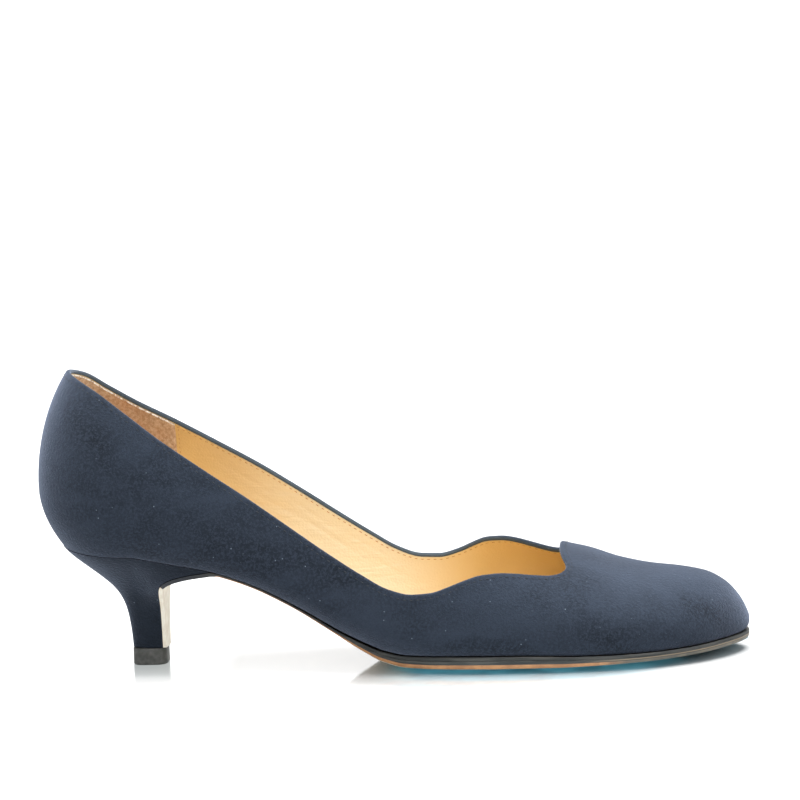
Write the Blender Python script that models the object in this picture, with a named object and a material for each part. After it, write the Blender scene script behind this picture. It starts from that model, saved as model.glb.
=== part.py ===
"""Kitten heel pump: a right shoe with the toe towards +X, the wearer's left at +Y, standing on Z = 0.

Sizes here are in millimetres, with x counted from the back of the heel, and become metres about the
shoe's middle when a mesh is made. The last, the form that the shoe is built over, is a table of
stations along x. Its widest line, its lower edge (the seam where the upper meets the sole) and the
topline are three closed loops around the shoe, and the upper is the band from topline to seam.
"""

import bmesh
import bpy
import numpy as np

MM = 0.001

# The whole shoe
TOE_X = 250.2
MIDDLE_X, MIDDLE_Y = 125.1, 0.5
GAP = 0.3
WALL = 1.8
INSOLE_THICK = 2.2
TOP_PIECE_HIGH = 6.0

# Stations of the last. centre_y is its middle line, lateral and medial the half widths at its
# widest line, tuck how far the seam lies inside that line, wide_z the height of that line, ridge_z
# the height of the instep's and toe's ridge, sole_z the lower edge of the sole's side, sole_edge
# the height of that side, crown how far the floor of the last sinks in the middle, drop how far the
# tread swells below its side, and margin how far the sole stands out past the seam.
LAST_COLUMNS = (
    "x", "centre_y", "lateral", "medial", "tuck_lateral", "tuck_medial", "wide_z", "ridge_z",
    "sole_z", "sole_edge", "crown", "drop", "margin",
)
LAST = (
    (34.0, 0.0, 30.3, 30.3, 5.6, 5.6, 58.6, 105.0, 40.7, 0.9, 0.0, 0.6, 0.0),
    (48.0, 0.0, 30.9, 30.5, 5.5, 5.6, 53.0, 100.0, 38.1, 0.9, 0.0, 0.6, 0.0),
    (62.0, 0.0, 30.8, 30.0, 5.8, 6.8, 47.0, 95.0, 35.2, 0.9, 0.0, 0.6, 0.0),
    (75.0, 0.0, 30.6, 29.0, 6.1, 8.4, 41.0, 89.0, 30.8, 0.8, 0.2, 0.9, 0.0),
    (90.0, 0.3, 31.4, 28.2, 6.8, 9.6, 34.0, 81.0, 23.2, 0.8, 0.5, 1.2, 0.0),
    (105.0, 0.6, 33.2, 28.5, 7.6, 9.8, 25.5, 73.0, 13.6, 1.3, 0.9, 1.4, 0.0),
    (114.0, 0.8, 34.8, 29.4, 7.8, 9.0, 21.0, 69.0, 7.8, 2.5, 1.3, 1.6, 0.2),
    (122.0, 1.0, 36.4, 31.0, 7.2, 8.0, 17.8, 65.0, 3.8, 3.5, 1.6, 1.9, 0.6),
    (130.0, 1.2, 37.8, 32.8, 5.6, 6.2, 15.4, 61.8, 2.2, 4.0, 1.9, 2.0, 1.0),
    (140.0, 1.4, 38.8, 34.8, 3.8, 4.2, 13.8, 58.0, 2.0, 4.2, 2.0, 2.0, 1.2),
    (152.0, 1.6, 39.6, 36.3, 2.8, 3.0, 13.0, 53.6, 2.0, 4.3, 2.0, 2.0, 1.2),
    (165.0, 1.9, 40.2, 37.2, 2.4, 2.4, 12.5, 47.6, 2.0, 4.3, 2.0, 2.0, 1.2),
    (176.0, 2.2, 40.2, 37.2, 2.3, 2.3, 12.2, 42.8, 2.0, 4.1, 2.0, 2.0, 1.2),
    (184.0, 2.4, 40.0, 36.6, 2.2, 2.2, 12.0, 39.7, 2.0, 3.8, 2.0, 2.0, 1.2),
    (194.0, 2.8, 39.2, 35.2, 2.0, 2.0, 11.8, 37.2, 2.2, 3.4, 1.9, 2.0, 1.2),
    (205.0, 3.1, 37.3, 32.6, 1.8, 1.8, 11.6, 33.4, 2.4, 3.1, 1.7, 2.0, 1.2),
    (216.0, 3.5, 34.4, 29.2, 1.6, 1.6, 11.4, 31.0, 2.7, 2.9, 1.4, 1.8, 1.2),
    (226.0, 3.9, 30.2, 25.2, 1.5, 1.5, 11.2, 29.8, 3.1, 2.8, 1.1, 1.5, 1.2),
    (235.0, 4.2, 24.2, 20.0, 1.4, 1.4, 11.0, 28.0, 3.5, 2.8, 0.7, 1.2, 1.2),
    (242.0, 4.5, 17.2, 14.4, 1.3, 1.3, 10.8, 24.2, 3.9, 2.8, 0.4, 0.9, 1.2),
    (247.0, 4.7, 10.2, 8.8, 1.3, 1.3, 10.6, 18.6, 4.1, 2.8, 0.2, 0.7, 1.2),
    (249.2, 4.8, 5.4, 4.8, 1.3, 1.3, 10.5, 14.4, 4.2, 2.8, 0.1, 0.6, 1.2),
    (TOE_X, 4.8, 0.0, 0.0, 1.3, 1.3, 10.5, 10.5, 4.2, 2.8, 0.1, 0.6, 1.2),
)

# The heel's rounded back, behind the station at HEEL_X: each loop is half a superellipse.
HEEL_X = 34.0
WIDE_BACK_X, WIDE_BACK_Z = 0.0, 66.0
TOP_BACK_X, TOP_BACK_Z = 11.7, 105.8
SEAM_BACK_X, SEAM_BACK_Z = 8.0, 43.9
HEEL_POWER = 2.2

# The topline along the quarters, as heights
TOPLINE_COLUMNS = ("x", "lateral_z", "medial_z")
TOPLINE = (
    (TOP_BACK_X, TOP_BACK_Z, TOP_BACK_Z),
    (17.0, 103.4, 103.2),
    (24.0, 99.7, 98.0),
    (34.0, 92.7, 91.4),
    (48.0, 82.0, 83.8),
    (62.0, 72.3, 75.9),
    (76.0, 62.8, 68.0),
    (90.0, 52.8, 59.0),
    (104.0, 42.9, 49.4),
    (116.0, 35.2, 41.1),
    (125.0, 30.4, 35.2),
    (133.0, 28.6, 32.2),
    (140.0, 29.2, 31.9),
    (147.0, 31.5, 33.9),
    (153.0, 33.5, 36.7),
    (158.0, 34.6, 38.4),
    (164.0, 34.8, 38.7),
)
LOW_X = 133.0
CREST_X = 164.0
# Behind this station the topline's plan is an ellipse round the ankle's back.
ANKLE_X = 50.0

# The scalloped throat ahead of the two crests, in plan: each side runs on to a tight corner, and
# a shallow point between the corners looks back to the heel.
THROAT_LATERAL = (
    (170.0, -28.1), (176.0, -26.8), (181.0, -25.2), (184.2, -23.1),
    (186.0, -20.4), (186.3, -17.6), (185.4, -14.2), (184.4, -9.0),
)
THROAT_MEDIAL = (
    (168.5, 26.2), (174.0, 26.0), (179.0, 25.8), (182.3, 24.9),
    (184.7, 23.0), (185.9, 20.4), (185.5, 17.2), (184.5, 12.5),
)
THROAT_POINT = (184.0, 2.0)

# The sides of the heel. At each share of its height, how far the block has spread from its top
# piece to the seat: round the back and sides, and along the breast.
FLARE_COLUMNS = ("share", "back", "breast")
FLARE = (
    (0.0, 0.0, 0.0),
    (0.15, 0.02, 0.0),
    (0.30, 0.055, 0.0),
    (0.40, 0.095, 0.0),
    (0.50, 0.165, 0.0),
    (0.60, 0.28, 0.0),
    (0.70, 0.45, 0.01),
    (0.79, 0.625, 0.05),
    (0.85, 0.745, 0.14),
    (0.91, 0.86, 0.32),
    (0.96, 0.945, 0.60),
    (1.0, 1.0, 1.0),
)
BREAST_TOP_X = 62.0
TIP_BACK_X, TIP_FRONT_X = 31.4, 42.2
TIP_HALF = 6.6
TIP_POWER = 2.9
TOP_PIECE_POWER = 3.6
FLAP_THICK = 1.3
BREAST_SWELL = 0.6
SWELL_POWER = 4
# How far ahead of the breast the sole's last station stays, which leaves room for its bend.
BEND_ROOM = 1.0
# The share of a heel ring, counted from the breast's corner, over which the breast's flare gives way
# to the back's.
CORNER_SHARE = 0.28
# The share of the sole's half width that is flat on the floor.
TREAD_FLAT = 0.5

# How finely each loop and wall is divided
HEEL_COLUMNS, SIDE_COLUMNS, FAN_COLUMNS = 8, 13, 28
THROAT_SKEW = 1.3
UPPER_ROWS, TUCK_ROWS = 11, 4
ROW_SKEW = 1.8
TUCK_POWER, BACK_TUCK_POWER = 1.5, 2.1
ACROSS = 8
SEAT_POINTS = 17
SHANK_LEVELS, FLARE_LEVELS, FLARE_FROM = 8, 11, 0.7
TOP_PIECE_POINTS = 40

LATERAL, MEDIAL = -1, 1


def column(table, columns, name):
    return np.array([row[columns.index(name)] for row in table])


def smooth(x, xs, ys):
    """A curve through the points (xs, ys) that never overshoots them, read at x."""
    step, slope = np.diff(xs), np.diff(ys) / np.diff(xs)
    tangent = np.zeros(len(xs))
    same_way = slope[:-1] * slope[1:] > 0
    mean = 2 * slope[:-1] * slope[1:] / np.where(same_way, slope[:-1] + slope[1:], 1)
    tangent[1:-1] = np.where(same_way, mean, 0)
    tangent[0], tangent[-1] = slope[0], slope[-1]
    x = np.clip(x, xs[0], xs[-1])
    k = np.clip(np.searchsorted(xs, x) - 1, 0, len(step) - 1)
    t = (x - xs[k]) / step[k]
    rise = ys[k] + step[k] * t * tangent[k] * (1 - t) ** 2 - step[k] * t * t * (1 - t) * tangent[k + 1]
    return rise + (ys[k + 1] - ys[k]) * t * t * (3 - 2 * t)


def last(name, x):
    """One column of the last at x."""
    return smooth(np.asarray(x, float), column(LAST, LAST_COLUMNS, "x"), column(LAST, LAST_COLUMNS, name))


def rounded(values, x):
    """A column that ends in a round tip: its square is read, because that runs straight to zero."""
    return np.sqrt(np.maximum(smooth(np.asarray(x, float), column(LAST, LAST_COLUMNS, "x"), values**2), 0))


def half_width(x, side):
    return rounded(column(LAST, LAST_COLUMNS, "lateral" if side == LATERAL else "medial"), x)


def ridge_rise(x):
    return rounded(column(LAST, LAST_COLUMNS, "ridge_z") - column(LAST, LAST_COLUMNS, "wide_z"), x)


def seam_z(x):
    return last("sole_z", x) + last("sole_edge", x) + GAP


def dome_z(x, y):
    """Height of the last above its widest line: each cross-section is half an ellipse."""
    off = y - last("centre_y", x)
    half = np.where(off < 0, half_width(x, LATERAL), half_width(x, MEDIAL))
    share = np.clip(np.abs(off) / np.maximum(half, 1e-6), 0, 1)
    return last("wide_z", x) + ridge_rise(x) * np.sqrt(1 - share**2)


def dome_y(x, z, side):
    """Where the last's side passes the height z."""
    share = np.clip((z - last("wide_z", x)) / ridge_rise(x), 0, 1)
    return last("centre_y", x) + side * half_width(x, side) * np.sqrt(1 - share**2)


def walk(line, shares):
    """Points along a dense line at these shares of its length."""
    length = np.concatenate([[0], np.cumsum(np.linalg.norm(np.diff(line, axis=0), axis=1))])
    return np.stack([np.interp(shares * length[-1], length, line[:, i]) for i in range(line.shape[1])], -1)


def curve(points, count=40):
    """A dense rounded line through hand-set points (a chord-length cubic)."""
    points = np.asarray(points, float)
    chord = np.sqrt(np.linalg.norm(np.diff(points, axis=0), axis=1))
    at = np.concatenate([[0], np.cumsum(chord)])
    tangent = np.gradient(points, at, axis=0)
    t = np.linspace(0, at[-1], count * len(points))
    k = np.clip(np.searchsorted(at, t) - 1, 0, len(chord) - 1)
    s = ((t - at[k]) / chord[k])[:, None]
    bend = s * (1 - s) ** 2 * tangent[k] - s**2 * (1 - s) * tangent[k + 1]
    return points[k] + (points[k + 1] - points[k]) * s**2 * (3 - 2 * s) + bend * chord[k][:, None]


def wide_line(side, start):
    """The widest line in plan, from x = start to the toe, closer together towards the toe."""
    x = TOE_X - (TOE_X - start) * (1 - np.linspace(0, 1, 500)) ** 2
    return np.stack([x, last("centre_y", x) + side * half_width(x, side)], -1)


def heel_arc(back_x, half, side):
    """The rounded back in plan, from its middle to the station HEEL_X, without the last point."""
    angle = np.radians(np.linspace(90, 0, HEEL_COLUMNS + 1))[:-1]
    x = HEEL_X - (HEEL_X - back_x) * np.sin(angle) ** (2 / HEEL_POWER)
    return np.stack([x, side * half * np.abs(np.cos(angle)) ** (2 / HEEL_POWER)], -1), angle


def topline_z(x, side):
    name = "lateral_z" if side == LATERAL else "medial_z"
    return smooth(x, column(TOPLINE, TOPLINE_COLUMNS, "x"), column(TOPLINE, TOPLINE_COLUMNS, name))


def top_back_x(angle):
    """Stations of the topline's columns behind HEEL_X, evenly turned about the ankle."""
    turn = np.arccos((ANKLE_X - HEEL_X) / (ANKLE_X - TOP_BACK_X)) * (1 - angle / (np.pi / 2))
    return ANKLE_X - (ANKLE_X - TOP_BACK_X) * np.cos(turn)


def with_z(plan, z):
    return np.concatenate([plan, np.broadcast_to(z, len(plan))[:, None]], 1)


def half_loops(side):
    """The widest, top and seam loops of one side, from the middle of the back to the middle of the toe."""
    heel_wide, angle = heel_arc(WIDE_BACK_X, float(half_width(HEEL_X, side)), side)
    back = np.sin(angle) ** 2
    quarter = wide_line(side, HEEL_X)
    quarter = walk(quarter[quarter[:, 0] <= LOW_X], np.linspace(0, 1, SIDE_COLUMNS + 1))[:-1]
    fan_share = np.linspace(0, 1, FAN_COLUMNS + 1)
    fan = walk(wide_line(side, LOW_X), fan_share)
    front = np.concatenate([quarter, fan])
    wide_z = last("wide_z", HEEL_X) + (WIDE_BACK_Z - last("wide_z", HEEL_X)) * angle / (np.pi / 2)
    wide = np.concatenate([with_z(heel_wide, wide_z), with_z(front, last("wide_z", front[:, 0]))])

    ankle_z = topline_z(ANKLE_X, side)
    ankle_half = abs(float(dome_y(ANKLE_X, ankle_z, side)))
    reach = ANKLE_X - TOP_BACK_X
    x = np.concatenate([top_back_x(angle), quarter[:, 0]])
    round_y = ankle_half * np.sqrt(1 - np.clip((ANKLE_X - x) / reach, 0, 1) ** 2)
    z = topline_z(x, side)
    y = np.where(x < ANKLE_X, side * round_y, dome_y(x, z, side))
    quarters = np.stack([x, y, z], -1)
    x = np.linspace(LOW_X, CREST_X, 9)
    scallop = np.stack([x, dome_y(x, topline_z(x, side), side)], -1)
    throat, beyond = (THROAT_LATERAL, THROAT_MEDIAL) if side == LATERAL else (THROAT_MEDIAL, THROAT_LATERAL)
    line = curve([*scallop, *throat, THROAT_POINT, beyond[-1]])
    line = line[: np.argmin(np.linalg.norm(line - THROAT_POINT, axis=1)) + 1]
    fan_top = walk(line, 1 - (1 - fan_share) ** THROAT_SKEW)
    top = np.concatenate([quarters, with_z(fan_top, dome_z(fan_top[:, 0], fan_top[:, 1]))])
    return wide, top, seam_under(wide, side, back)


def seam_under(wide, side, back):
    """The seam loop: the widest loop moved inwards by the tuck and down to the sole."""
    tangent = np.gradient(wide[:, :2], axis=0)
    tangent[-1] = (0, -side)
    inward = np.stack([tangent[:, 1], -tangent[:, 0]], -1) * side
    inward /= np.linalg.norm(inward, axis=1)[:, None]
    tuck = last("tuck_lateral" if side == LATERAL else "tuck_medial", wide[:, 0])[:, None]
    seam = with_z(wide[:, :2] + inward * tuck, seam_z(wide[:, 0]))
    seat_half = abs(seam[HEEL_COLUMNS, 1])
    heel_seam, _ = heel_arc(SEAM_BACK_X, seat_half, side)
    heel_z = seam_z(HEEL_X) + (SEAM_BACK_Z - seam_z(HEEL_X)) * back
    seam[:HEEL_COLUMNS] = with_z(heel_seam, heel_z)
    return seam


def upper_rows(wide, top, seam):
    """The upper's outer face: rows from the topline over the widest line down to the seam."""
    rise = np.linspace(1, 0, UPPER_ROWS + 1)
    plan = wide[None, :, :2] + (top - wide)[None, :, :2] * (rise**ROW_SKEW)[:, None, None]
    dome = dome_z(plan[..., 0], plan[..., 1])
    share = (dome - wide[:, 2]) / (dome[0] - wide[:, 2])
    in_heel = wide[:, 0] < HEEL_X
    share[:, in_heel] = share[:, [HEEL_COLUMNS]]
    z = wide[:, 2] + (top - wide)[:, 2] * share
    above = np.concatenate([plan, z[..., None]], -1)
    turn = np.radians(np.linspace(0, 90, TUCK_ROWS + 1))[1:, None, None]
    to_back = np.clip(1 - wide[:, 0] / HEEL_X, 0, 1)[:, None]
    power = TUCK_POWER + (BACK_TUCK_POWER - TUCK_POWER) * to_back
    plan = seam[:, :2] + (wide - seam)[:, :2] * np.abs(np.cos(turn)) ** power
    z = wide[None, :, 2:] + (seam - wide)[None, :, 2:] * np.sin(turn)
    return np.concatenate([above, np.concatenate([plan, z], -1)])


def joined(lateral, medial):
    """Both halves as one closed loop, which runs back, lateral side, toe, medial side."""
    return np.concatenate([lateral, medial[..., -2:0:-1, :]], axis=-2)


def make_object(name, points, faces, colour, roughness):
    mesh = bpy.data.meshes.new(name)
    mesh.from_pydata(((np.asarray(points) - (MIDDLE_X, MIDDLE_Y, 0)) * MM).tolist(), [], faces)
    work = bmesh.new()
    work.from_mesh(mesh)
    bmesh.ops.recalc_face_normals(work, faces=work.faces)
    work.to_mesh(mesh)
    work.free()
    mesh.shade_smooth()
    mesh.set_sharp_from_angle(angle=np.radians(40))
    material = bpy.data.materials.new(name)
    material.use_nodes = True
    shader = material.node_tree.nodes["Principled BSDF"]
    shader.inputs["Base Color"].default_value = (*colour, 1)
    shader.inputs["Roughness"].default_value = roughness
    mesh.materials.append(material)
    made = bpy.data.objects.new(name, mesh)
    bpy.context.scene.collection.objects.link(made)
    return made


def ring_faces(rings, around):
    """Quads between neighbouring closed rings of `around` points."""
    faces = []
    for first in range(0, (rings - 1) * around, around):
        for i in range(around):
            after = (i + 1) % around
            faces.append((first + i, first + after, first + around + after, first + around + i))
    return faces


def cap_faces(first, around, start=0, stop=None):
    """Quads that close a ring made of an upper row and as many points back along a lower row."""
    stop = around // 2 - 1 if stop is None else stop
    final = first + around - 1
    return [(first + i, first + i + 1, final - 1 - i, final - i) for i in range(start, stop)]


def nose_faces(first, around, tip):
    """The front of a plate: its first ring drawn together to an upper and a lower point."""
    half = around // 2
    upper, lower = tip, tip + 1
    faces = [(first + i, first + i + 1, upper) for i in range(half - 1)]
    faces += [(first + half + i, first + half + i + 1, lower) for i in range(half - 1)]
    faces.append((first, upper, lower, first + around - 1))
    faces.append((first + half - 1, first + half, lower, upper))
    return faces


def plate(name, upper, lower, tips, colour, roughness):
    """A closed plate between two grids of points, each a row of stations with points across.

    The first station's upper and lower rows run on to the two tips, and the last station is closed
    straight, or drawn to two more tips.
    """
    rings = np.concatenate([upper, lower[:, ::-1]], axis=1)
    count, around = rings.shape[:2]
    points = np.concatenate([rings.reshape(-1, 3), np.reshape(tips, (-1, 3))])
    final = (count - 1) * around
    faces = ring_faces(count, around) + nose_faces(0, around, count * around)
    faces += nose_faces(final, around, count * around + 2) if len(tips) == 4 else cap_faces(final, around)
    return make_object(name, points, faces, colour, roughness)


def across(lateral, medial):
    """Points across each station, from its lateral to its medial edge, and their signed share."""
    share = np.linspace(-1, 1, ACROSS + 1)
    blend = ((share + 1) / 2)[None, :, None]
    return lateral[:, None] * (1 - blend) + medial[:, None] * blend, share


def floor_of_last(lateral, medial):
    """The last's underside, sunk by the crown in the middle."""
    points, share = across(lateral, medial)
    points[..., 2] -= last("crown", points[..., 0]) * (1 - share**2)
    return points


def pulled_in(loop, distance):
    """A closed plan loop moved inwards, or outwards where the distance is negative."""
    tangent = np.roll(loop, -1, axis=0)[:, :2] - np.roll(loop, 1, axis=0)[:, :2]
    normal = np.stack([-tangent[:, 1], tangent[:, 0]], -1)
    normal /= np.linalg.norm(normal, axis=1)[:, None]
    moved = loop.copy()
    moved[:, :2] += normal * np.reshape(distance, (-1, 1))
    return moved


def make_upper(wide, top, seam):
    rows = upper_rows(wide, top, seam)
    count, around = rows.shape[:2]
    upper = make_object("upper", rows.reshape(-1, 3), ring_faces(count, around), (0.031, 0.044, 0.082), 0.95)
    wall = upper.modifiers.new("wall", "SOLIDIFY")
    wall.thickness = WALL * MM
    wall.offset = -1
    wall.use_even_offset = True
    wall.use_rim = True


def make_insole(seam):
    edge = pulled_in(seam, WALL + GAP)
    half = len(edge) // 2
    lateral, medial = edge[half - 1:0:-1], edge[half + 1:]
    lower = floor_of_last(lateral, medial)
    rise = (0, 0, INSOLE_THICK)
    tips = (edge[half] + rise, edge[half], edge[0] + rise, edge[0])
    plate("insole", lower + rise, lower, tips, (0.68, 0.36, 0.14), 0.6)


def heel_block_rings(seam):
    """Rings up the heel, from the top piece to the seat. A ring starts at the breast's lateral corner."""
    half = len(seam) // 2
    lateral = seam[: half + 1]
    medial = np.concatenate([seam[:1], seam[:half - 1:-1]])
    seat = np.concatenate([seat_side(lateral)[::-1], seat_side(medial)[1:]])
    count = len(seat)
    angle = np.linspace(0, np.pi, count)
    tip_x = TIP_FRONT_X - (TIP_FRONT_X - TIP_BACK_X) * np.sin(angle) ** (2 / TIP_POWER)
    tip_y = -TIP_HALF * np.sign(np.cos(angle)) * np.abs(np.cos(angle)) ** (2 / TIP_POWER)
    tip = np.stack([tip_x, tip_y, np.full(count, TOP_PIECE_HIGH + GAP)], -1)
    share = column(FLARE, FLARE_COLUMNS, "share")
    shank, flare = np.linspace(0, FLARE_FROM, SHANK_LEVELS), np.linspace(FLARE_FROM, 1, FLARE_LEVELS)
    levels = np.concatenate([shank, flare[1:]])
    back = smooth(levels, share, column(FLARE, FLARE_COLUMNS, "back"))[:, None]
    breast = smooth(levels, share, column(FLARE, FLARE_COLUMNS, "breast"))[:, None]
    from_corner = np.minimum(np.arange(count), np.arange(count)[::-1])
    to_back = np.clip(from_corner / (count * CORNER_SHARE), 0, 1)[None]
    to_back = to_back**2 * (3 - 2 * to_back)
    spread = breast + (back - breast) * to_back
    x = tip[:, 0] + (seat - tip)[:, 0] * spread
    y = tip[:, 1] + (seat - tip)[:, 1] * back
    z = tip[:, 2] + (seat - tip)[:, 2] * levels[:, None]
    return np.stack([x, y, z], -1)


def seat_side(loop):
    """One side of the seat, evenly spaced from the middle of the back to the top of the breast."""
    side = loop[loop[:, 0] < BREAST_TOP_X]
    after = loop[np.argmax(loop[:, 0] >= BREAST_TOP_X)]
    blend = (BREAST_TOP_X - side[-1, 0]) / (after[0] - side[-1, 0])
    side = np.concatenate([side, [side[-1] + (after - side[-1]) * blend]])
    side[:, 2] -= GAP
    return walk(side, np.linspace(0, 1, SEAT_POINTS))


def breast_lines(rings):
    """The breast's face: at each level a slightly swollen line between its two corners."""
    lines, share = across(rings[:, 0], rings[:, -1])
    level = np.linspace(0, 1, len(rings))[:, None]
    lines[..., 0] += BREAST_SWELL * (1 - share**2) * (1 - level**SWELL_POWER)
    return lines


def make_heel(rings, lines):
    """The block: its side wall runs round each ring and back across the breast, and quads close both ends."""
    count = rings.shape[1]
    whole = np.concatenate([rings, lines[:, -2:0:-1]], axis=1)
    levels, around = whole.shape[:2]
    points = whole.reshape(-1, 3)
    faces = ring_faces(levels, around)
    back = count // 2
    for first in (0, (levels - 1) * around):
        faces.append((first, first + 1, *range(first + count - 2, first + around)))
        faces += cap_faces(first, count, 1, back - 1)
        faces.append((first + back - 1, first + back, first + back + 1))
    return make_object("heel", points, faces, (0.026, 0.037, 0.068), 0.95)


def make_top_piece():
    count = TOP_PIECE_POINTS
    angle = np.radians(np.linspace(0, 360, count, endpoint=False))
    front_x = TIP_FRONT_X + FLAP_THICK + GAP
    middle, reach = (front_x + TIP_BACK_X) / 2, (front_x - TIP_BACK_X) / 2
    power = 2 / TOP_PIECE_POWER
    x = middle + reach * np.sign(np.cos(angle)) * np.abs(np.cos(angle)) ** power
    y = TIP_HALF * np.sign(np.sin(angle)) * np.abs(np.sin(angle)) ** power
    rings = np.stack([np.stack([x, y, np.full(count, z)], -1) for z in (0.0, TOP_PIECE_HIGH)])
    faces = ring_faces(2, count) + [tuple(range(count)), tuple(range(count, 2 * count))]
    return make_object("top_piece", rings.reshape(-1, 3), faces, (0.06, 0.06, 0.06), 0.7)


def sole_faces(seam):
    """The sole's upper and lower face from the toe to the top of the breast."""
    margin = last("margin", seam[:, 0])
    edge = pulled_in(seam, -margin)
    half = len(edge) // 2
    lateral, medial = edge[half - 1:0:-1], edge[half + 1:]
    keep = np.minimum(lateral[:, 0], medial[:, 0]) > BREAST_TOP_X + BEND_ROOM
    lateral, medial = lateral[keep], medial[keep]
    top = floor_of_last(lateral, medial) - (0, 0, GAP)
    bottom, share = across(lateral, medial)
    rise = np.clip((np.abs(share) - TREAD_FLAT) / (1 - TREAD_FLAT), 0, 1) ** 2
    x = bottom[..., 0]
    bottom[..., 2] = last("sole_z", x) - last("drop", x) * (1 - rise)
    toe = edge[half, :2]
    tips = ((*toe, edge[half, 2] - GAP), (*toe, float(last("sole_z", TOE_X))))
    return top, bottom, tips


def make_outsole(seam, lines):
    """The sole, which turns down at the top of the breast and covers it to the top piece."""
    top, bottom, tips = sole_faces(seam)
    path = lines[:, ACROSS // 2]
    along = np.gradient(path, axis=0)
    out = np.stack([along[:, 2], np.zeros(len(along)), -along[:, 0]], -1)
    out /= np.linalg.norm(out, axis=1)[:, None]
    inner = lines + out[:, None] * GAP
    outer = lines + out[:, None] * (GAP + FLAP_THICK)
    inner[0, :, 2] = outer[0, :, 2] = TOP_PIECE_HIGH + GAP
    upper = np.concatenate([top, inner[::-1]])
    lower = np.concatenate([bottom, outer[::-1]])
    plate("outsole", upper, lower, tips, (0.42, 0.24, 0.13), 0.55)


def main():
    for old in list(bpy.data.objects):
        bpy.data.objects.remove(old)
    wide, top, seam = (joined(a, b) for a, b in zip(half_loops(LATERAL), half_loops(MEDIAL)))
    make_upper(wide, top, seam)
    make_insole(seam)
    rings = heel_block_rings(seam)
    lines = breast_lines(rings)
    make_heel(rings, lines)
    make_outsole(seam, lines)
    make_top_piece()


main()
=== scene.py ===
"""Kitten heel pump: the finish of a right shoe in navy suede, worked out in numpy over its last.

Sizes are millimetres, x counted from the back of the heel, and become metres about the shoe's middle
when a mesh is made. The sections follow the shoe as it is put together.
"""

import bmesh
import bpy
import numpy as np
from mathutils import Matrix, Vector


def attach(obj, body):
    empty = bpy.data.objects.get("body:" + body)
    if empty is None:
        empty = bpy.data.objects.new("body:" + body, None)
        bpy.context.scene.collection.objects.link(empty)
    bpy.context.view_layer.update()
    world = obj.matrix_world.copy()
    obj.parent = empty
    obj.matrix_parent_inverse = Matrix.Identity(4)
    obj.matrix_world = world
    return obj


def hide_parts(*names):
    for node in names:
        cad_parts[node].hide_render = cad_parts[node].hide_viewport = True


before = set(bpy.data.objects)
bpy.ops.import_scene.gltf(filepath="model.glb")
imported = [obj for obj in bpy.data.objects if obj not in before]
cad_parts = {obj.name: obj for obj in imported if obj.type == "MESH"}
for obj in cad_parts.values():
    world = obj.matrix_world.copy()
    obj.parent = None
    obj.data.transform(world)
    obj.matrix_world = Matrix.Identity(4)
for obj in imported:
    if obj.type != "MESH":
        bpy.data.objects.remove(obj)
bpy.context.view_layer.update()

# Suede upper. The outer is one skin of navy goat suede, pulled over a last and turned over its own
# top edge, so that it shows as a narrow band inside the collar, painted paler there as a highlight. It is
# glued under the insole.

MM = 0.001
MIDDLE_X, MIDDLE_Y = 125.1, 0.5
TOE_X = 250.2
GAP = 0.3
WALL = 1.8
SUEDE = 1.0

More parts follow.
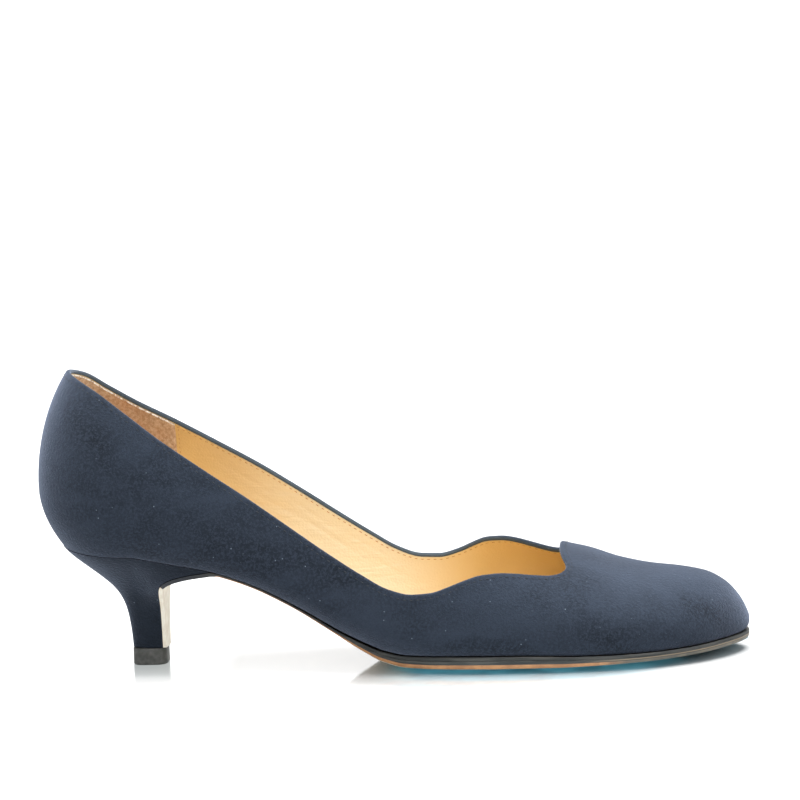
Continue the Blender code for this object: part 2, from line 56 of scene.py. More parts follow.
# Stations of the last, the form that the shoe is made on.
LAST_COLUMNS = (
    "x", "centre_y", "lateral", "medial", "tuck_lateral", "tuck_medial", "wide_z", "ridge_z",
    "sole_z", "sole_edge", "crown", "drop", "margin",
)
LAST = (
    (34.0, 0.0, 30.3, 30.3, 5.6, 5.6, 58.6, 105.0, 40.7, 0.9, 0.0, 0.6, 0.0),
    (48.0, 0.0, 30.9, 30.5, 5.5, 5.6, 53.0, 100.0, 38.1, 0.9, 0.0, 0.6, 0.0),
    (62.0, 0.0, 30.8, 30.0, 5.8, 6.8, 47.0, 95.0, 35.2, 0.9, 0.0, 0.6, 0.0),
    (75.0, 0.0, 30.6, 29.0, 6.1, 8.4, 41.0, 89.0, 30.8, 0.8, 0.2, 0.9, 0.0),
    (90.0, 0.3, 31.4, 28.2, 6.8, 9.6, 34.0, 81.0, 23.2, 0.8, 0.5, 1.2, 0.0),
    (105.0, 0.6, 33.2, 28.5, 7.6, 9.8, 25.5, 73.0, 13.6, 1.3, 0.9, 1.4, 0.0),
    (114.0, 0.8, 34.8, 29.4, 7.8, 9.0, 21.0, 69.0, 7.8, 2.5, 1.3, 1.6, 0.2),
    (122.0, 1.0, 36.4, 31.0, 7.2, 8.0, 17.8, 65.0, 3.8, 3.5, 1.6, 1.9, 0.6),
    (130.0, 1.2, 37.8, 32.8, 5.6, 6.2, 15.4, 61.8, 2.2, 4.0, 1.9, 2.0, 1.0),
    (140.0, 1.4, 38.8, 34.8, 3.8, 4.2, 13.8, 58.0, 2.0, 4.2, 2.0, 2.0, 1.2),
    (152.0, 1.6, 39.6, 36.3, 2.8, 3.0, 13.0, 53.6, 2.0, 4.3, 2.0, 2.0, 1.2),
    (165.0, 1.9, 40.2, 37.2, 2.4, 2.4, 12.5, 47.6, 2.0, 4.3, 2.0, 2.0, 1.2),
    (176.0, 2.2, 40.2, 37.2, 2.3, 2.3, 12.2, 42.8, 2.0, 4.1, 2.0, 2.0, 1.2),
    (184.0, 2.4, 40.0, 36.6, 2.2, 2.2, 12.0, 39.7, 2.0, 3.8, 2.0, 2.0, 1.2),
    (194.0, 2.8, 39.2, 35.2, 2.0, 2.0, 11.8, 37.2, 2.2, 3.4, 1.9, 2.0, 1.2),
    (205.0, 3.1, 37.3, 32.6, 1.8, 1.8, 11.6, 33.4, 2.4, 3.1, 1.7, 2.0, 1.2),
    (216.0, 3.5, 34.4, 29.2, 1.6, 1.6, 11.4, 31.0, 2.7, 2.9, 1.4, 1.8, 1.2),
    (226.0, 3.9, 30.2, 25.2, 1.5, 1.5, 11.2, 29.8, 3.1, 2.8, 1.1, 1.5, 1.2),
    (235.0, 4.2, 24.2, 20.0, 1.4, 1.4, 11.0, 28.0, 3.5, 2.8, 0.7, 1.2, 1.2),
    (242.0, 4.5, 17.2, 14.4, 1.3, 1.3, 10.8, 24.2, 3.9, 2.8, 0.4, 0.9, 1.2),
    (247.0, 4.7, 10.2, 8.8, 1.3, 1.3, 10.6, 18.6, 4.1, 2.8, 0.2, 0.7, 1.2),
    (249.2, 4.8, 5.4, 4.8, 1.3, 1.3, 10.5, 14.4, 4.2, 2.8, 0.1, 0.6, 1.2),
    (TOE_X, 4.8, 0.0, 0.0, 1.3, 1.3, 10.5, 10.5, 4.2, 2.8, 0.1, 0.6, 1.2),
)
STATIONS = {name: np.array([row[i] for row in LAST]) for i, name in enumerate(LAST_COLUMNS)}
HEEL_X = 34.0
WIDE_BACK_Z = 66.0
SEAM_BACK_X, SEAM_BACK_Z = 8.0, 43.9
HEEL_POWER = 2.2

# The top edge: heights along the sides, then the throat's scallop in plan.
TOP_X = np.array((11.7, 17, 24, 34, 48, 62, 76, 90, 104, 116, 125, 133, 140, 147, 153, 158, 164.0))
LATERAL_TOP = np.array((
    105.8, 103.4, 99.7, 92.7, 82, 72.3, 62.8, 52.8, 42.9, 35.2, 30.4, 28.6, 29.2, 31.5, 33.5, 34.6, 34.8
))
MEDIAL_TOP = np.array((
    105.8, 103.2, 98, 91.4, 83.8, 75.9, 68, 59, 49.4, 41.1, 35.2, 32.2, 31.9, 33.9, 36.7, 38.4, 38.7
))
LOW_X, CREST_X, ANKLE_X = 133.0, 164.0, 50.0
THROAT_LATERAL = (
    (170.0, -28.1), (176.0, -26.8), (181.0, -25.2), (184.2, -23.1),
    (186.0, -20.4), (186.3, -17.6), (185.4, -14.2), (184.4, -9.0),
)
THROAT_MEDIAL = (
    (168.5, 26.2), (174.0, 26.0), (179.0, 25.8), (182.3, 24.9),
    (184.7, 23.0), (185.9, 20.4), (185.5, 17.2), (184.5, 12.5),
)
THROAT_POINT = (184.0, 2.0)

HEEL_COLUMNS, SIDE_COLUMNS, FAN_COLUMNS = 24, 48, 92
DENSE = 900
THROAT_SKEW = 1.3
UPPER_ROWS, TUCK_ROWS = 40, 12
ROW_SKEW = 1.8
TUCK_POWER, BACK_TUCK_POWER = 1.5, 2.1
LATERAL, MEDIAL = -1, 1


def smooth(x, xs, ys):
    """A curve through the points (xs, ys) that never overshoots them, read at x."""
    step, slope = np.diff(xs), np.diff(ys) / np.diff(xs)
    tangent = np.zeros(len(xs))
    same_way = slope[:-1] * slope[1:] > 0
    mean = 2 * slope[:-1] * slope[1:] / np.where(same_way, slope[:-1] + slope[1:], 1)
    tangent[1:-1] = np.where(same_way, mean, 0)
    tangent[0], tangent[-1] = slope[0], slope[-1]
    x = np.clip(x, xs[0], xs[-1])
    k = np.clip(np.searchsorted(xs, x) - 1, 0, len(step) - 1)
    t = (x - xs[k]) / step[k]
    rise = ys[k] + step[k] * t * tangent[k] * (1 - t) ** 2 - step[k] * t * t * (1 - t) * tangent[k + 1]
    return rise + (ys[k + 1] - ys[k]) * t * t * (3 - 2 * t)


def last(name, x):
    """One column of the last's stations, read at x."""
    return smooth(np.asarray(x, float), STATIONS["x"], STATIONS[name])


def rounded(values, x):
    """A column that ends in a round tip: its square is read, which runs straight to zero."""
    return np.sqrt(np.maximum(smooth(np.asarray(x, float), STATIONS["x"], values**2), 0))


def half_width(x, side):
    return rounded(STATIONS["lateral" if side == LATERAL else "medial"], x)


def seam_z(x):
    return last("sole_z", x) + last("sole_edge", x) + GAP


def dome_z(x, y):
    """Height of the last above its widest line: each cross-section is half an ellipse."""
    off = y - last("centre_y", x)
    half = np.where(off < 0, half_width(x, LATERAL), half_width(x, MEDIAL))
    share = np.clip(np.abs(off) / np.maximum(half, 1e-6), 0, 1)
    return last("wide_z", x) + rounded(STATIONS["ridge_z"] - STATIONS["wide_z"], x) * np.sqrt(1 - share**2)


def dome_y(x, z, side):
    """Where the last's side passes the height z."""
    share = (z - last("wide_z", x)) / rounded(STATIONS["ridge_z"] - STATIONS["wide_z"], x)
    return last("centre_y", x) + side * half_width(x, side) * np.sqrt(1 - np.clip(share, 0, 1) ** 2)


def walk(line, shares):
    """Points along a dense line at these shares of its length."""
    length = np.concatenate([[0], np.cumsum(np.linalg.norm(np.diff(line, axis=0), axis=1))])
    return np.stack([np.interp(shares * length[-1], length, line[:, i]) for i in range(line.shape[1])], -1)


def curve(points, count=40):
    """A dense rounded line through given points: a cubic whose ease follows the chord lengths."""
    points = np.asarray(points, float)
    chord = np.sqrt(np.linalg.norm(np.diff(points, axis=0), axis=1))
    at = np.concatenate([[0], np.cumsum(chord)])
    tangent = np.gradient(points, at, axis=0)
    t = np.linspace(0, at[-1], count * len(points))
    k = np.clip(np.searchsorted(at, t) - 1, 0, len(chord) - 1)
    s = ((t - at[k]) / chord[k])[:, None]
    bend = s * (1 - s) ** 2 * tangent[k] - s**2 * (1 - s) * tangent[k + 1]
    return points[k] + (points[k + 1] - points[k]) * s**2 * (3 - 2 * s) + bend * chord[k][:, None]


def with_z(plan, z):
    return np.concatenate([plan, np.broadcast_to(z, len(plan))[:, None]], 1)


def heel_arc(back_x, half, side):
    """The rounded back in plan: half a superellipse from its middle to the station HEEL_X."""
    angle = np.radians(np.linspace(90, 0, HEEL_COLUMNS + 1))[:-1]
    x = HEEL_X - (HEEL_X - back_x) * np.sin(angle) ** (2 / HEEL_POWER)
    return np.stack([x, side * half * np.abs(np.cos(angle)) ** (2 / HEEL_POWER)], -1), angle


def half_loops(side):
    """The widest, top and seam loops of one side, from the middle of the back to the middle of the toe."""
    heel_wide, angle = heel_arc(0.0, float(half_width(HEEL_X, side)), side)
    x = TOE_X - (TOE_X - HEEL_X) * (1 - np.linspace(0, 1, DENSE)) ** 2
    plan = np.stack([x, last("centre_y", x) + side * half_width(x, side)], -1)
    quarter = walk(plan[x <= LOW_X], np.linspace(0, 1, SIDE_COLUMNS + 1))[:-1]
    x = TOE_X - (TOE_X - LOW_X) * (1 - np.linspace(0, 1, DENSE)) ** 2
    plan = np.stack([x, last("centre_y", x) + side * half_width(x, side)], -1)
    fan_share = np.linspace(0, 1, FAN_COLUMNS + 1)
    front = np.concatenate([quarter, walk(plan, fan_share)])
    heel_z = last("wide_z", HEEL_X) + (WIDE_BACK_Z - last("wide_z", HEEL_X)) * angle / (np.pi / 2)
    wide = np.concatenate([with_z(heel_wide, heel_z), with_z(front, last("wide_z", front[:, 0]))])

    heights = LATERAL_TOP if side == LATERAL else MEDIAL_TOP
    reach = ANKLE_X - TOP_X[0]
    turn = np.arccos((ANKLE_X - HEEL_X) / reach) * (1 - angle / (np.pi / 2))
    x = np.concatenate([ANKLE_X - reach * np.cos(turn), quarter[:, 0]])
    z = smooth(x, TOP_X, heights)
    ankle_half = abs(float(dome_y(ANKLE_X, smooth(ANKLE_X, TOP_X, heights), side)))
    round_y = side * ankle_half * np.sqrt(1 - np.clip((ANKLE_X - x) / reach, 0, 1) ** 2)
    y = np.where(x < ANKLE_X, round_y, dome_y(x, z, side))
    x_low = np.linspace(LOW_X, CREST_X, 9)
    scallop = np.stack([x_low, dome_y(x_low, smooth(x_low, TOP_X, heights), side)], -1)
    throat, beyond = (THROAT_LATERAL, THROAT_MEDIAL)[::side * -1]
    line = curve([*scallop, *throat, THROAT_POINT, beyond[-1]])
    line = line[: np.argmin(np.linalg.norm(line - THROAT_POINT, axis=1)) + 1]
    fan_top = walk(line, 1 - (1 - fan_share) ** THROAT_SKEW)
    top = np.concatenate([np.stack([x, y, z], -1), with_z(fan_top, dome_z(fan_top[:, 0], fan_top[:, 1]))])

    tangent = np.gradient(wide[:, :2], axis=0)
    tangent[-1] = (0, -side)
    inward = np.stack([tangent[:, 1], -tangent[:, 0]], -1) * side
    inward /= np.linalg.norm(inward, axis=1)[:, None]
    tuck = last("tuck_lateral" if side == LATERAL else "tuck_medial", wide[:, 0])[:, None]
    seam = with_z(wide[:, :2] + inward * tuck, seam_z(wide[:, 0]))
    heel_seam, _ = heel_arc(SEAM_BACK_X, abs(seam[HEEL_COLUMNS, 1]), side)
    back_z = seam_z(HEEL_X) + (SEAM_BACK_Z - seam_z(HEEL_X)) * np.sin(angle) ** 2
    seam[:HEEL_COLUMNS] = with_z(heel_seam, back_z)
    return wide, top, seam


def joined(lateral, medial):
    """Both halves as one closed loop, which runs back, lateral side, toe, medial side."""
    return np.concatenate([lateral, medial[..., -2:0:-1, :]], axis=-2)


def upper_rows(wide, top, seam):
    """The upper's outer face: each column runs from the topline down over the widest line to the seam.

    Above the widest line the plan moves evenly and the height follows the last's dome. Below it the
    side tucks in along a quarter of a flattened ellipse.
    """
    rise = np.linspace(1, 0, UPPER_ROWS + 1)
    plan = wide[None, :, :2] + (top - wide)[None, :, :2] * (rise**ROW_SKEW)[:, None, None]
    dome = dome_z(plan[..., 0], plan[..., 1])
    share = (dome - wide[:, 2]) / (dome[0] - wide[:, 2])
    in_heel = wide[:, 0] < HEEL_X
    share[:, in_heel] = share[:, [HEEL_COLUMNS]]
    above = np.concatenate([plan, (wide[:, 2] + (top - wide)[:, 2] * share)[..., None]], -1)
    turn = np.radians(np.linspace(0, 90, TUCK_ROWS + 1))[1:, None, None]
    to_back = np.clip(1 - wide[:, 0] / HEEL_X, 0, 1)[:, None]
    power = TUCK_POWER + (BACK_TUCK_POWER - TUCK_POWER) * to_back
    plan = seam[:, :2] + (wide - seam)[:, :2] * np.abs(np.cos(turn)) ** power
    z = wide[None, :, 2:] + (seam - wide)[None, :, 2:] * np.sin(turn)
    return np.concatenate([above, np.concatenate([plan, z], -1)])


def unit(vectors):
    return vectors / np.maximum(np.linalg.norm(vectors, axis=-1, keepdims=True), 1e-9)


wide_loop, top_loop, seam_loop = (joined(a, b) for a, b in zip(half_loops(LATERAL), half_loops(MEDIAL)))
face = upper_rows(wide_loop, top_loop, seam_loop)
along = unit(np.roll(face, -1, axis=1) - np.roll(face, 1, axis=1))
outward = unit(np.cross(np.gradient(face, axis=0), along))
below_edge = unit(np.cross(along[0], outward[0]))
steps_down = np.linalg.norm(np.diff(face, axis=0), axis=2)
from_edge = np.concatenate([np.zeros((1, face.shape[1])), np.cumsum(steps_down, 0)])
EDGE_FADE = 8.0


def layer(depth, lowered):
    """The face moved in by `depth`, with its top edge lowered: the lowering eases out below the edge."""
    ease = np.clip(1 - from_edge / EDGE_FADE, 0, 1) ** 2
    return face + below_edge * (lowered * ease)[..., None] - outward * depth


def grid_faces(rows, columns, close_rows, close_columns, flip=False):
    """Quads over a grid of points, which may run round in either direction."""
    r = np.arange(rows if close_rows else rows - 1)[:, None]
    c = np.arange(columns if close_columns else columns - 1)[None, :]
    r_next, c_next = (r + 1) % rows, (c + 1) % columns
    corners = ((r, c), (r_next, c), (r_next, c_next), (r, c_next))
    quads = np.stack([row * columns + column for row, column in corners], -1)
    return (quads[..., ::-1] if flip else quads).reshape(-1, 4)


def make_piece(name, points, faces, material, values=None):
    """A piece from points in millimetres. `values` gives each point a number that the finish reads."""
    mesh = bpy.data.meshes.new(name)
    points = (np.asarray(points).reshape(-1, 3) - (MIDDLE_X, MIDDLE_Y, 0)) * MM
    mesh.from_pydata(points.tolist(), [], [list(map(int, f)) for f in faces])
    mesh.shade_smooth()
    if values is not None:
        mark = mesh.attributes.new("mark", "FLOAT", "POINT")
        mark.data.foreach_set("value", np.asarray(values, np.float32).ravel())
    mesh.materials.append(material)
    piece = bpy.data.objects.new(name, mesh)
    bpy.context.scene.collection.objects.link(piece)
    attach(piece, "root")
    return piece


def new_finish(name, **sockets):
    """A material, its tree and its main shader with these sockets set."""
    finish = bpy.data.materials.new(name)
    finish.use_nodes = True
    shader = finish.node_tree.nodes["Principled BSDF"]
    for socket, value in sockets.items():
        shader.inputs[socket.replace("_", " ").title()].default_value = value
    return finish, finish.node_tree, shader


def put(tree, kind, inputs=(), **settings):
    """A node with its settings and inputs. An input is a value, or another node's output to read."""
    made = tree.nodes.new(kind)
    for key, value in settings.items():
        setattr(made, key, value)
    for key, value in dict(inputs).items():
        if isinstance(value, bpy.types.NodeSocket):
            tree.links.new(value, made.inputs[key])
        else:
            made.inputs[key].default_value = value
    return made


def blend_colours(tree, factor, first, second):
    """One colour blended into another. Both may be read from nodes."""
    mixed = tree.nodes.new("ShaderNodeMix")
    mixed.data_type = "RGBA"
    for key, value in (("Factor", factor), ("A", first), ("B", second)):
        socket = next(s for s in mixed.inputs if s.name == key and s.enabled)
        if isinstance(value, bpy.types.NodeSocket):
            tree.links.new(value, socket)
        else:
            socket.default_value = value
    return next(s for s in mixed.outputs if s.enabled)


def between(tree, value, low, high, to_low=0.0, to_high=1.0):
    """A value's range from low to high, eased to another range."""
    eased = put(
        tree, "ShaderNodeMapRange",
        {"Value": value, "From Min": low, "From Max": high, "To Min": to_low, "To Max": to_high},
        interpolation_type="SMOOTHSTEP",
    )
    return eased.outputs[0]


def times(tree, first, second):
    return put(tree, "ShaderNodeMath", {0: first, 1: second}, operation="MULTIPLY").outputs[0]


def noise(tree, place, scale, detail, **sockets):
    """Noise of one size over a place. Its other sockets are given by name."""
    inputs = {"Vector": place, "Scale": scale, "Detail": detail, **sockets}
    return put(tree, "ShaderNodeTexNoise", inputs).outputs[0]


def relief(tree, height, strength, distance, **sockets):
    """The surface bumped by a value, over the bumps of another where `Normal` is given."""
    inputs = {"Height": height, "Strength": strength, "Distance": distance, **sockets}
    return put(tree, "ShaderNodeBump", inputs).outputs[0]


def suede_finish(name, dark, light, patch_scale):
    """Suede: brushed nap in soft patches, a short fuzz and specks of lint, painted paler as a highlight where
    "mark" is 1.
    """
    finish, tree, shader = new_finish(
        name, Roughness=0.95, Sheen_weight=0.35, Sheen_roughness=0.45, Sheen_tint=(0.53, 0.62, 0.84, 1),
    )
    shader.inputs["Specular IOR Level"].default_value = 0.15
    place = put(tree, "ShaderNodeTexCoord").outputs["Object"]
    brushed = put(
        tree, "ShaderNodeMapping", {"Vector": place, "Scale": (0.7, 1.0, 1.5), "Rotation": (0, 0.5, 0)},
    ).outputs[0]
    patches = noise(tree, brushed, patch_scale, 4.0, Roughness=0.6, Distortion=0.6)
    mottle = noise(tree, place, 1050.0, 3.0, Roughness=0.8)
    nap = noise(tree, place, 2400.0, 2.0)
    colour = blend_colours(tree, between(tree, patches, 0.24, 0.78), dark, light)
    colour = blend_colours(tree, between(tree, mottle, 0.44, 0.60, 0.0, 0.8), colour, light)
    colour = blend_colours(tree, between(tree, nap, 0.2, 0.6, 0.35, 0.0), colour, dark)
    lint = put(tree, "ShaderNodeTexVoronoi", {"Vector": place, "Scale": 340.0}).outputs["Distance"]
    which = noise(tree, place, 95.0, 1.0)
    speck = times(tree, between(tree, lint, 0.10, 0.03), between(tree, which, 0.5, 0.6))
    colour = blend_colours(tree, speck, colour, (0.13, 0.16, 0.20, 1))
    fold_highlight_share = put(tree, "ShaderNodeAttribute", attribute_name="mark").outputs["Fac"]
    # The fold band inside the collar is painted paler: a painted highlight where the fold faces the light.
    colour = blend_colours(tree, between(tree, fold_highlight_share, 0.3, 1.0, 0.0, 0.75), colour, (0.085, 0.108, 0.122, 1))
    tree.links.new(colour, shader.inputs["Base Color"])
    fuzz = relief(tree, mottle, 0.7, 0.0005)
    tree.links.new(relief(tree, nap, 0.5, 0.00015, Normal=fuzz), shader.inputs["Normal"])
    return finish


suede = suede_finish("navy_suede", (0.0040, 0.0062, 0.0096, 1), (0.0235, 0.0325, 0.0490, 1), 34.0)

FOLD = WALL / 2
FOLD_ROWS = 9
FOLD_DEEP = 0.12
FOLD_PROUD = 0.08
roll = np.radians(np.linspace(180, 0, FOLD_ROWS))[1:-1, None, None]
outer_skin = layer(0.0, FOLD)
under_skin = layer(SUEDE, FOLD + FOLD_DEEP)[::-1]
folded_in = np.stack([layer(WALL + FOLD_PROUD, FOLD + FOLD_DEEP)[0], layer(WALL + FOLD_PROUD, FOLD)[0]])
fold_roll = face[0] + below_edge * FOLD * (1 - np.sin(roll)) - outward[0] * FOLD * (1 - np.cos(roll))
skin = np.concatenate([outer_skin, under_skin, folded_in, fold_roll])
# How far each row carries the fold band's painted highlight: 1 on the turned-in band, fading round the roll.
fold_highlight = np.concatenate([
    np.zeros(len(outer_skin) + len(under_skin)), np.ones(2), np.linspace(1, 0, len(fold_roll)),
])
upper = make_piece(
    "suede_upper", skin, grid_faces(len(skin), skin.shape[1], True, True), suede,
    np.broadcast_to(fold_highlight[:, None], skin.shape[:2]),
)
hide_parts("upper")

# Lining. Smooth tan calf is glued inside the suede and stops just under the fold. It has a fine
# grain and soft creases along the waist, where it was pulled round the last, and a painted highlight makes it
# paler there.

LINING_DROP = FOLD + FOLD_DEEP + 0.12
LINING_LAP = 0.1
# Side, x, distance below the edge, half length, half width, depth and slope of each crease.
CREASES = (
    (MEDIAL, 72.0, 9.0, 9.0, 0.9, 0.16, 0.05),
    (MEDIAL, 84.0, 13.0, 11.0, 1.0, 0.20, -0.06),
    (MEDIAL, 93.0, 7.5, 9.0, 0.8, 0.14, 0.08),
    (MEDIAL, 101.0, 12.0, 12.0, 1.0, 0.20, 0.03),
    (MEDIAL, 112.0, 6.5, 8.0, 0.8, 0.14, -0.05),
    (MEDIAL, 121.0, 10.5, 9.0, 0.9, 0.16, 0.06),
    (LATERAL, 80.0, 10.0, 10.0, 0.9, 0.16, 0.04),
    (LATERAL, 97.0, 8.0, 11.0, 1.0, 0.18, -0.05),
    (LATERAL, 114.0, 9.0, 9.0, 0.9, 0.16, 0.05),
)


def crease_depth(points, below):
    """Soft troughs: each is a bell in both directions, long along the shoe and narrow across."""
    deep = np.zeros(points.shape[:2])
    for side, x, centre, half_long, half_wide, trough, slope in CREASES:
        run = points[..., 0] - x
        off = below - centre - slope * run
        same_side = np.sign(points[..., 1] - MIDDLE_Y) == side
        deep += same_side * trough * np.exp(-((run / half_long) ** 2) - (off / half_wide) ** 2)
    return deep


def sheet_faces(rows, columns, close_columns):
    """Faces of a sheet given as its front rows and then its back rows: all round, and its two ends."""
    faces = grid_faces(2 * rows, columns, True, close_columns)
    if close_columns:
        return faces
    r = np.arange(rows - 1)
    ends = []
    for column, order in ((0, (0, 1, 2, 3)), (columns - 1, (3, 2, 1, 0))):
        ring = np.stack([r, 2 * rows - 1 - r, 2 * rows - 2 - r, r + 1], -1) * columns + column
        ends.append(ring[:, order])
    return np.concatenate([faces, *ends])


def leather_finish(name, dark, light, roughness, patch_scale, grain_scale):
    """Smooth leather: a slow change of tone, and fine pebbled grain that the light catches."""
    finish, tree, shader = new_finish(name, Roughness=roughness, Coat_weight=0.08, Coat_roughness=0.4)
    shader.inputs["Specular IOR Level"].default_value = 0.5
    place = put(tree, "ShaderNodeTexCoord").outputs["Object"]
    tone = noise(tree, place, patch_scale, 3.0)
    colour = blend_colours(tree, between(tree, tone, 0.3, 0.7), dark, light)
    tree.links.new(colour, shader.inputs["Base Color"])
    pebble = put(tree, "ShaderNodeTexVoronoi", {"Vector": place, "Scale": grain_scale}).outputs["Distance"]
    grain = relief(tree, pebble, 0.5, 0.0002)
    tree.links.new(grain, shader.inputs["Normal"])
    return finish, tree, shader, place, grain, colour


calf, tree, shader, place, grain, colour = leather_finish(
    "tan_calf", (0.66, 0.455, 0.18, 1), (0.75, 0.535, 0.23, 1), 0.38, 22.0, 1300.0,
)
drawn = put(
    tree, "ShaderNodeMapping", {"Vector": place, "Rotation": (0, -0.62, 0), "Scale": (60, 120, 430)},
).outputs[0]
wrinkle = noise(tree, drawn, 1.0, 2.0, Distortion=0.4)
run = put(tree, "ShaderNodeSeparateXYZ", {0: place}).outputs[0]
# Painted highlight: the lining is painted pale cream along the waist, where the overhead light falls on it.
painted_highlight = times(tree, between(tree, run, -0.080, -0.022), between(tree, run, 0.034, -0.006))
painted_highlight = times(tree, painted_highlight, 0.8)
tree.links.new(blend_colours(tree, painted_highlight, colour, (0.82, 0.765, 0.61, 1)), shader.inputs["Base Color"])
at_waist = times(tree, between(tree, run, -0.085, -0.05), between(tree, run, 0.02, -0.005))
drawn_in = relief(tree, times(tree, wrinkle, at_waist), 0.8, 0.0007, Normal=grain)
tree.links.new(drawn_in, shader.inputs["Normal"])

lining_face = layer(WALL, LINING_DROP)
lining_face = lining_face + outward * crease_depth(lining_face, from_edge)[..., None]
lining_back = layer(SUEDE + LINING_LAP, LINING_DROP + LINING_LAP)
lining_skin = np.concatenate([lining_back, lining_face[::-1]])
lining = make_piece(
    "leather_lining", lining_skin, grid_faces(len(lining_skin), lining_skin.shape[1], True, True), calf,
)

# Heel grip. A piece of rough, pinkish split leather is glued and sewn over the lining round the back
# of the heel. Its top is cut under the fold, where a little pale fibre shows, and its front is sewn.

GRIP_X = 46.3
GRIP_THICK = 0.5
GRIP_COLUMNS = 61
GRIP_LIFT = 0.05
GRIP_DROP = LINING_DROP + 0.2
GRIP_ROUND = 0.05


def up_to(points, x):
    """For each row, how many columns lie between the middle of the back and x, on the two sides."""
    half = points.shape[1] // 2
    index = np.arange(half // 2)
    lateral = np.array([np.interp(x, row, index) for row in points[:, : half // 2, 0]])
    medial = np.array([np.interp(x, row, index) for row in points[:, (-index) % points.shape[1], 0]])
    return lateral, medial


def columns_at(points, index):
    """The grid read between its columns. `index` has one row of places for each row of the grid."""
    count = points.shape[1]
    low = np.floor(index).astype(int)
    part = (index - low)[..., None]
    r = np.arange(len(points))[:, None]
    return points[r, low % count] * (1 - part) + points[r, (low + 1) % count] * part


lateral_end, medial_end = up_to(lining_face, GRIP_X)
share = np.linspace(-1, 1, GRIP_COLUMNS)[None]
grip_index = np.where(share < 0, share * medial_end[:, None], share * lateral_end[:, None])
grip_front = columns_at(layer(WALL + GRIP_THICK, GRIP_DROP + GRIP_ROUND), grip_index)
grip_back = columns_at(layer(WALL + GRIP_LIFT, GRIP_DROP), grip_index)
grip_below = columns_at(from_edge[..., None], grip_index)[..., 0]
rough, tree, shader = new_finish("split_leather", Roughness=0.95, Sheen_weight=0.2, Sheen_roughness=0.5)
place = put(tree, "ShaderNodeTexCoord").outputs["Object"]
fibre = noise(tree, place, 800.0, 4.0, Roughness=0.7)
cloudy = noise(tree, place, 60.0, 3.0)
colour = blend_colours(tree, between(tree, fibre, 0.32, 0.68), (0.38, 0.24, 0.14, 1), (0.62, 0.46, 0.31, 1))
colour = blend_colours(tree, between(tree, cloudy, 0.45, 0.7, 0.0, 0.4), colour, (0.52, 0.25, 0.12, 1))
below = put(tree, "ShaderNodeAttribute", attribute_name="mark").outputs["Fac"]
frayed = times(tree, between(tree, below, 1.0, 0.3), between(tree, fibre, 0.42, 0.55))
tree.links.new(blend_colours(tree, frayed, colour, (0.9, 0.86, 0.76, 1)), shader.inputs["Base Color"])
tree.links.new(relief(tree, fibre, 0.8, 0.0004), shader.inputs["Normal"])
grip = make_piece(
    "heel_grip", np.concatenate([grip_back, grip_front[::-1]]),
    sheet_faces(len(grip_front), GRIP_COLUMNS, False), rough,
    np.concatenate([grip_below, grip_below[::-1]]),
)

# Stitches. One fine row runs round the collar 2 mm below the edge, in navy thread outside and tan
# thread on the lining, and another in tan holds the front of the heel grip.

STITCH_BELOW = 2.1
STITCH_PITCH = 2.3
STITCH_LONG = 1.5
THREAD = 0.16
THREAD_PROUD = 0.02
THREAD_RINGS, THREAD_SIDES = 6, 6
GRIP_SEAM_X = GRIP_X + 1.2
GRIP_STITCH_PITCH, GRIP_STITCH_LONG = 1.7, 1.1


def stitch_points(line, normal, pitch, length, radius, closed):
    """Stitches along a line: each is a short thread whose ends dip into the leather.

    The rings of a thread are circles across its run, narrower and lower towards both ends.
    """
    if closed:
        line, normal = np.concatenate([line, line[:1]]), np.concatenate([normal, normal[:1]])
    reach = np.concatenate([[0], np.cumsum(np.linalg.norm(np.diff(line, axis=0), axis=1))])
    count = int(reach[-1] / pitch)
    at = (np.arange(count) + 0.5) * reach[-1] / count
    centre = np.stack([np.interp(at, reach, line[:, i]) for i in range(3)], -1)
    ahead = np.stack([np.interp(at + length / 2, reach, line[:, i]) for i in range(3)], -1)
    behind = np.stack([np.interp(at - length / 2, reach, line[:, i]) for i in range(3)], -1)
    up = unit(np.stack([np.interp(at, reach, normal[:, i]) for i in range(3)], -1))
    run = unit(ahead - behind)
    aside = unit(np.cross(run, up))
    step = np.linspace(-1, 1, THREAD_RINGS)
    turn = np.linspace(0, 2 * np.pi, THREAD_SIDES, endpoint=False)
    wide = radius * np.sqrt(np.clip(1.02 - step**2, 0.02, 1))
    sink = -radius * 1.1 * step**4
    core = centre[:, None] + run[:, None] * (step * length / 2)[:, None] + up[:, None] * sink[:, None]
    ring = aside[:, None] * np.cos(turn)[:, None] + up[:, None] * np.sin(turn)[:, None]
    return core[:, :, None] + ring[:, None] * wide[:, None, None]


def stitch_faces(count):
    """Faces for every stitch: the tube between its rings, and an end each way."""
    points = THREAD_RINGS * THREAD_SIDES
    one = [list(f) for f in grid_faces(THREAD_RINGS, THREAD_SIDES, False, True, flip=True)]
    one += [list(range(THREAD_SIDES)), list(range(points - 1, points - 1 - THREAD_SIDES, -1))]
    return [[v + points * k for v in f] for k in range(count) for f in one]


def thread_finish(name, dark, light):
    """Twisted thread: slanting dark and light plies across the run."""
    finish, tree, shader = new_finish(name, Roughness=0.8)
    place = put(tree, "ShaderNodeTexCoord").outputs["Object"]
    ply = put(
        tree, "ShaderNodeTexWave", {"Vector": place, "Scale": 900.0, "Distortion": 1.0},
        bands_direction="DIAGONAL",
    ).outputs["Fac"]
    colour = blend_colours(tree, ply, dark, light)
    tree.links.new(colour, shader.inputs["Base Color"])
    return finish


